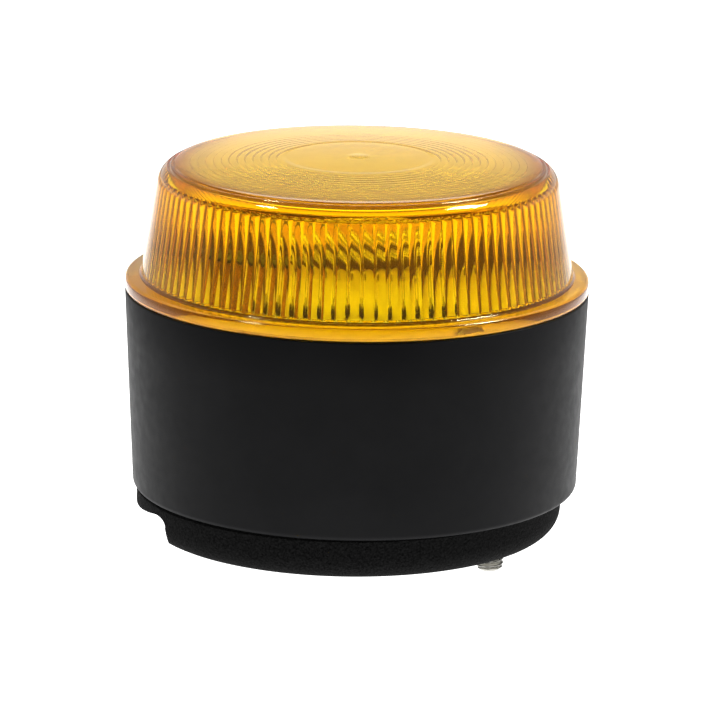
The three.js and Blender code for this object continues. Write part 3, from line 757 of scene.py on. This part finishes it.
def build_pan_screw(number):
    """A pan-headed screw with a cross recess and a fine thread."""
    node = f"plate_screw_{number}"
    place = Place(node)
    sides, head_r, head_h = 48, place.r, 1.6 * MM
    under, top = place.high.z - head_h, place.high.z
    rings = [centre(place.low.z), ring(1.0 * MM, place.low.z, sides)]
    rings += thread_rings(1.5 * MM, 0.5 * MM, place.low.z, under, sides, 0.3 * MM)
    rings += [ring(head_r - 0.15 * MM, under, sides), ring(head_r, under + 0.15 * MM, sides)]
    crown = arc(head_r - 0.9 * MM, top - 0.9 * MM, 0.9 * MM, 0, 90, 6)
    rings += [ring(r, z, sides) for r, z in crown] + [centre(top)]
    made = moved(loft(f"cross_screw_{number}", rings), place)
    long, wide, deep = 2.6 * MM, 0.7 * MM, 0.9 * MM
    turned = 0.5 + number
    for width, depth in ((long, wide), (wide, long)):
        cut(made, [block(width, depth, top - deep, top + MM, place.x, place.y, turned)])
    return dress(smooth(made), "zinc_steel", node)


# ---- Lamp: reflector, flash tube and trigger coil ----

GLASS_R, GLASS_BORE, BEND_R, WIRE_R = 2.5, 1.7, 4.5, 0.3  # mm
WIRE_TURNS = 5
leads = [Place("tube_lead_1"), Place("tube_lead_2")]
LEG_OFFSET = math.dist((leads[0].x, leads[0].y), (leads[1].x, leads[1].y)) / 2 / MM
LEVEL_Z = tube.high.z / MM - GLASS_R
ALONG = Vector((leads[1].x - leads[0].x, leads[1].y - leads[0].y, 0)).normalized()
LEAN = 0.12  # how much the level stretch rises along its length


def beside(distance, z, aside=0.0):
    """A place along the tube's level stretch, in mm from the lamp's axis, at that height."""
    return (ALONG * distance + Vector((-ALONG.y, ALONG.x, 0)) * aside + Vector((0, 0, z))) * MM


def leaning(distance, z, aside=0.0):
    """The same place on the glass, whose one bend stands a little higher than the other."""
    foot = tube.low.z / MM
    return beside(distance, z + LEAN * distance * (z - foot) / (LEVEL_Z - foot), aside)


def build_tube():
    """The flash tube: a thin-walled glass pipe bent to an inverted U."""
    foot, bend_z = tube.low.z / MM, LEVEL_Z - BEND_R
    corner = arc(BEND_R - LEG_OFFSET, bend_z, BEND_R, 180, 90, 14)
    half = [(-LEG_OFFSET, foot + (bend_z - foot) * t) for t in (0, 0.25, 0.5, 0.75)] + corner
    path = [leaning(distance, z) for distance, z in half]
    path += [leaning(0, LEVEL_Z)] + [leaning(-distance, z) for distance, z in reversed(half)]
    outer = pipe_rings(path, GLASS_R * MM, 32)
    inner = pipe_rings(path, GLASS_BORE * MM, 32)
    made = loft("bent_tube", outer + inner[::-1], loop=True)
    return dress(smooth(made, 60), "clear_glass", "flash_tube")


def build_electrode(number, lead):
    """The lead that enters the glass's foot, with its electrode inside the bore."""
    foot, wire_r, tip_r, edge, tip_z = tube.low.z, 0.5 * MM, 1.2 * MM, 0.4 * MM, 4.2 * MM
    profile = [(0, lead.low.z), (wire_r, lead.low.z), (wire_r, foot + MM)]
    profile += [(tip_r, foot + 1.2 * MM), *arc(tip_r - edge, foot + tip_z, edge, 0, 90, 5)]
    profile.append((0, foot + tip_z + edge))
    made = revolve(f"electrode_{number}", profile, 32, lead.x, lead.y)
    return dress(smooth(made), "bright_wire", f"tube_lead_{number}")


def build_reflector():
    """A white disc with crisp edges and holes for the legs, the coil and the screws."""
    r, low, high, edge = reflector.r, reflector.low.z, reflector.high.z, 0.3 * MM
    coil = Place("trigger_bobbin")
    profile = [(0, low), (r - edge, low), *arc(r - edge, low + edge, edge, -60, 0, 3)]
    profile += [*arc(r - edge, high - edge, edge, 0, 90, 4), (0, high)]
    made = revolve("white_plate", profile, SIDES)
    under, over = 30 * MM, 60 * MM
    holes = [peg((GLASS_R + 0.3) * MM, under, over, lead.x, lead.y) for lead in leads]
    holes.append(peg(5.3 * MM, under, over, coil.x, coil.y, 64))
    holes += [peg(POST_HOLE_R, under, over, post.x, post.y) for post in posts]
    return dress(smooth(cut(made, holes), 30), "white_reflector", "reflector")


def build_trigger_coil():
    """A flanged bobbin and its winding, with each turn of wire showing."""
    coil = Place("trigger_bobbin")
    low, high = coil.low.z / MM, coil.high.z / MM
    flange, core, thick, edge = coil.r / MM, 2.8, 0.8, 0.25
    profile = [(0, low)] + arc(flange - edge, low + edge, edge, -90, 0, 3)
    profile += arc(flange - edge, low + thick - edge, edge, 0, 90, 3)
    profile += [(core, low + thick), (core, high - thick)]
    profile += arc(flange - edge, high - thick + edge, edge, -90, 0, 3)
    profile += arc(flange - edge, high - edge, edge, 0, 90, 3)
    profile += [(1.2, high), (1.0, high - 0.6), (0, high - 0.6)]
    bobbin = revolve("bobbin", in_mm(profile), 64, coil.x, coil.y)
    dress(smooth(bobbin), "component_black", "trigger_bobbin")
    winding = Place("trigger_winding")
    bottom, top, r = winding.low.z / MM, winding.high.z / MM, winding.r / MM
    count = 30
    wire = (top - bottom) / count / 2
    outline = [(core + 0.3, bottom)]
    for k in range(count):
        outline += arc(r - wire, bottom + (2 * k + 1) * wire, wire, -80, 80, 4)
    outline.append((core + 0.3, top))
    turns = revolve("copper_turns", in_mm(outline), 48, coil.x, coil.y)
    dress(smooth(turns, 60), "copper_winding", "trigger_winding")


def build_trigger_wire():
    """The fine wire from the coil's top that winds round the level stretch of the glass."""
    coil = Place("trigger_bobbin")
    offset = -math.hypot(coil.x, coil.y) / MM
    wind_r, reach, per_turn = GLASS_R + WIRE_R + 0.02, LEG_OFFSET - BEND_R, 24
    coil_top, top = coil.high.z / MM, LEVEL_Z + GLASS_R + 2 * WIRE_R + 0.8
    halfway = (offset - LEG_OFFSET) / 2
    lead = [(offset, coil_top - 0.5), (offset, coil_top + 0.6), (offset + 1.5, coil_top + 3)]
    lead += [(halfway, top), (-reach - 2, top)]
    start = [beside(distance, z) for distance, z in lead]
    path = curve_through([*start, leaning(-reach, LEVEL_Z + wind_r)], 6)
    count = WIRE_TURNS * per_turn
    for i in range(1, count + 1):
        turn = TAU * i / per_turn
        distance = reach * (2 * i / count - 1)
        path.append(leaning(distance, LEVEL_Z + wind_r * math.cos(turn), wind_r * math.sin(turn)))
    return dress(smooth(rod("ignition_wire", path, WIRE_R * MM, 12)), "bright_wire", "trigger_wire")


# ---- Boards and what is soldered on them ----


def build_board(name, node, holes):
    """A round board with clean edges and its drilled holes."""
    place = Place(node)
    edge = 0.15 * MM
    profile = [(0, place.low.z), (place.r - edge, place.low.z), (place.r, place.low.z + edge)]
    profile += [(place.r, place.high.z - edge), (place.r - edge, place.high.z), (0, place.high.z)]
    made = revolve(name, profile, 128)
    tools = [peg(r, place.low.z - MM, place.high.z + MM, x, y, 32) for r, x, y in holes]
    return dress(smooth(cut(made, tools), 30), "green_board", node)


# Plain blocks on the boards: their nodes, slots and edge radii in mm.
SOFTENED = [
    ("driver_chip", "component_black", 0.2),
    ("transformer_core", "ferrite", 0.3),
    ("transformer_winding", "yellow_tape", 0.9),
    ("power_transistor", "component_black", 0.25),
    ("terminal_block", "terminal_green", 0.3),
    ("link_header", "white_plastic", 0.3),
]


def softened(name, node, radius):
    """A copy of a plain CAD solid with its sharp edges rounded."""
    work = bmesh.new()
    work.from_mesh(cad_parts[node].data)
    bmesh.ops.remove_doubles(work, verts=work.verts, dist=1e-6)
    bmesh.ops.dissolve_limit(work, angle_limit=math.radians(1), verts=work.verts, edges=work.edges)
    crease = math.radians(40)
    sharp = [edge for edge in work.edges if edge.is_manifold and edge.calc_face_angle() > crease]
    bmesh.ops.bevel(work, geom=sharp, offset=radius, segments=3, profile=0.5, affect="EDGES",
                    clamp_overlap=True)
    mesh = bpy.data.meshes.new(name)
    work.to_mesh(mesh)
    work.free()
    return smooth(link(name, mesh), 40)


def build_can(name, node):
    """An electrolytic capacitor: a drawn can with a pinched ring and a scored top."""
    place = Place(node)
    low, high, r = place.low.z / MM, place.high.z / MM, place.r / MM
    pinch_z, half_pinch = low + 2.2, 0.6
    profile = [(0, low), (r - 0.3, low), (r, low + 0.3), (r, pinch_z - half_pinch)]
    profile += arc(r + 0.35, pinch_z, 0.65, 240, 120, 6) + [(r, pinch_z + half_pinch)]
    profile += arc(r - 0.6, high - 0.6, 0.6, 0, 90, 6) + [(r - 1.1, high - 0.15), (0, high - 0.15)]
    made = revolve(name, in_mm(profile), 64, place.x, place.y)
    score, bottom, over = 0.4 * MM, place.high.z - 0.3 * MM, place.high.z + MM
    for degrees in (45, 135):
        cut(made, [block(r * MM, score, bottom, over, place.x, place.y, math.radians(degrees))])
    return dress(smooth(made), "capacitor_can", node)


def build_terminal_screw(number):
    """A cheese-headed screw with a sawn slot."""
    node = f"terminal_screw_{number}"
    place = Place(node)
    edge = 0.25 * MM
    profile = [(0, place.low.z), (place.r - edge, place.low.z), (place.r, place.low.z + edge)]
    profile += [*arc(place.r - edge, place.high.z - edge, edge, 0, 90, 4), (0, place.high.z)]
    made = revolve(f"clamp_screw_{number}", profile, 48, place.x, place.y)
    long, wide, bottom, over = 20 * MM, 0.7 * MM, place.high.z - 0.8 * MM, place.high.z + MM
    slot = block(long, wide, bottom, over, place.x, place.y, 0.3 * number)
    return dress(smooth(cut(made, [slot])), "zinc_steel", node)


def build_link_wire(node):
    """One of the two insulated wires up to the lamp board."""
    place, header = Place(node), Place("link_header")
    side = 1.5 * MM * (1 if place.x > header.x else -1)
    x, y, low, high = header.x + side, header.y, place.low.z, place.high.z
    bow, wire_r = 3 * MM, 0.8 * MM
    middle = (x + side, y - bow, (low + high) / 2)
    route = [(x, y, low), (x, y, low + bow), middle, (x, y, high - bow), (x, y, high)]
    made = rod(f"insulated_{node}", curve_through(route, 8), wire_r, 20)
    return dress(smooth(made), node.replace("link_", ""), node)


def build_boards():
    """Both round boards, and all that stands on the driver board."""
    post_holes = [(POST_HOLE_R, post.x, post.y) for post in posts]
    lead_holes = [(0.8 * MM, lead.x, lead.y) for lead in leads]
    build_board("driver_plate", "driver_board", [*post_holes, (5 * MM, grommet.x, grommet.y)])
    build_board("lamp_plate", "lamp_board", post_holes + lead_holes)
    for node, slot_name, radius in SOFTENED:
        dress(softened(f"soft_{node}", node, radius * MM), slot_name, node)
    for number in (1, 2):
        build_terminal_screw(number)
    for node in ("flash_capacitor", "input_capacitor"):
        build_can(f"can_{node}", node)
    for node in ("link_wire_red", "link_wire_black"):
        build_link_wire(node)


# ---- Camera, floor and light ----

VIEW_TURN = math.radians(15.5)  # how far the camera stands round from -Y towards +X
VIEW_DISTANCE = 1.123
VIEW_HEIGHT = 0.3208
AIM_HEIGHT = 0.0352
AIM_ASIDE = 0.0015
ROLL = math.radians(0.785)
LENS_MM = 270.8


def viewer(right=0.0, back=0.0, up=0.0):
    """A place given as seen from the camera: to its right, towards it and up."""
    return Vector((
        right * math.cos(VIEW_TURN) + back * math.sin(VIEW_TURN),
        right * math.sin(VIEW_TURN) - back * math.cos(VIEW_TURN),
        up,
    ))


def add_camera():
    """A long lens a little over a metre away, aimed near the middle and rolled slightly."""
    data = bpy.data.cameras.new("camera")
    data.lens = LENS_MM
    data.sensor_width = 36
    data.clip_start = 0.05
    camera = bpy.data.objects.new("camera", data)
    bpy.context.scene.collection.objects.link(camera)
    place = viewer(back=VIEW_DISTANCE, up=VIEW_HEIGHT)
    ahead = (viewer(right=AIM_ASIDE, up=AIM_HEIGHT) - place).normalized()
    right = ahead.cross(Vector((0, 0, 1))).normalized()
    up = right.cross(ahead)
    tilted = right * math.cos(ROLL) + up * math.sin(ROLL)
    upright = up * math.cos(ROLL) - right * math.sin(ROLL)
    turn = Matrix((tilted, upright, -ahead)).transposed()
    camera.matrix_world = Matrix.Translation(place) @ turn.to_4x4()
    bpy.context.scene.camera = camera


def add_floor():
    """A pale floor just under the studs, bright in a strip that runs away behind the object."""
    half = 6.0
    height = FLOOR_Z - 0.1 * MM
    plan = [(-half, -half), (half, -half), (half, half), (-half, half)]
    corners = [(x, y, height) for x, y in plan]
    mesh = bpy.data.meshes.new("floor")
    mesh.from_pydata(corners, [], [(0, 1, 2, 3)])
    floor = link("floor", mesh)
    finish = Finish("floor", (0.2, 0.2, 0.2), 0.8, Emission_Color=(1, 1, 1, 1))
    # The distances from the object at which the strip fades, in metres.
    aside = finish.math("ABSOLUTE", finish.along(viewer(right=1)), 0.0)
    across = finish.spread(aside, 1.0, 0.0, 0.13, 0.34)
    before = finish.spread(finish.along(viewer(back=1)), 1.0, 0.0, 0.15, 0.30)
    behind = finish.spread(finish.along(viewer(back=-1)), 1.0, 0.0, 0.8, 1.3)
    strip = finish.math("MULTIPLY", finish.math("MULTIPLY", before, behind), across)
    glow = finish.spread(strip, 0.3, 1.6, 0.0, 1.0)
    finish.tree.links.new(glow, finish.shader.inputs["Emission Strength"])
    floor.data.materials.append(finish.material)


def add_light(name, place, size, radiance):
    """A soft square lamp that faces the object; radiance is its brightness against a white sky of 1."""
    data = bpy.data.lights.new(name, "AREA")
    data.shape = "SQUARE"
    data.size = size
    data.energy = radiance * math.pi * size * size
    light = bpy.data.objects.new(name, data)
    light.matrix_world = Matrix.Translation(place) @ place.to_track_quat("Z", "Y").to_matrix().to_4x4()
    bpy.context.scene.collection.objects.link(light)


def add_world():
    """A dim studio that glows low down behind the object, with a broad light high up behind it."""
    world = bpy.data.worlds.new("studio")
    bpy.context.scene.world = world
    world.use_nodes = True
    tree = world.node_tree
    sky = tree.nodes["Background"]
    place = tree.nodes.new("ShaderNodeTexCoord").outputs["Generated"]
    horizon = sky_part(tree, place, viewer(up=1), (0.0, 0.3), (1.1, 0.45))
    behind = sky_part(tree, place, viewer(back=-1), (-0.2, 0.5), (0.2, 1.0))
    backlight = sky_part(tree, place, viewer(back=-1, up=1.2).normalized(), (0.9, 0.96), (0.0, 3.0))
    glow = tree.nodes.new("ShaderNodeMath")
    glow.operation = "MULTIPLY_ADD"
    for source, target in zip((horizon, behind, backlight), glow.inputs):
        tree.links.new(source, target)
    tree.links.new(glow.outputs[0], sky.inputs["Strength"])
    sky.inputs["Color"].default_value = (1, 1, 1, 1)


def sky_part(tree, place, towards, reach, strength):
    """A smooth change of strength as the sky's direction turns towards another."""
    dot = tree.nodes.new("ShaderNodeVectorMath")
    dot.operation = "DOT_PRODUCT"
    dot.inputs[1].default_value = towards
    tree.links.new(place, dot.inputs[0])
    span = tree.nodes.new("ShaderNodeMapRange")
    span.interpolation_type = "SMOOTHSTEP"
    sockets = ("From Min", "From Max", "To Min", "To Max")
    for socket, value in zip(sockets, (*reach, *strength)):
        span.inputs[socket].default_value = value
    tree.links.new(dot.outputs["Value"], span.inputs["Value"])
    return span.outputs["Result"]


def set_view():
    """Plain colours, and enough bounces for light to pass through the flutes."""
    scene = bpy.context.scene
    scene.view_settings.view_transform = "Standard"
    scene.cycles.max_bounces = 24
    scene.cycles.transmission_bounces = 24


# ---- Assembly ----

add_camera()
build_lens()
build_seal()
build_housing()
build_pad()
build_grommet()
for number, stud in enumerate(studs, 1):
    build_stud(number, stud)
    build_nut(number)
    build_flat_ring(f"washer_{number}", f"stud_washer_{number}", 3.2 * MM, 0.2 * MM, "zinc_steel")
    build_flat_ring(f"seal_ring_{number}", f"stud_seal_{number}", 3.3 * MM, 0.35 * MM, "rubber")
for number, post in enumerate(posts, 1):
    build_spacer(number, post)
    build_pan_screw(number)
build_reflector()
build_tube()
for number, lead in enumerate(leads, 1):
    build_electrode(number, lead)
    build_flat_ring(f"sleeve_{number}", f"tube_bush_{number}", 2.55 * MM, 0.25 * MM, "rubber")
build_trigger_coil()
build_trigger_wire()
build_boards()
add_floor()
add_light("left_lamp", viewer(-0.40, 0.0, 0.76), 0.10, 75)
add_light("right_lamp", viewer(0.46, -0.09, 0.73), 0.20, 75)
add_world()
set_view()
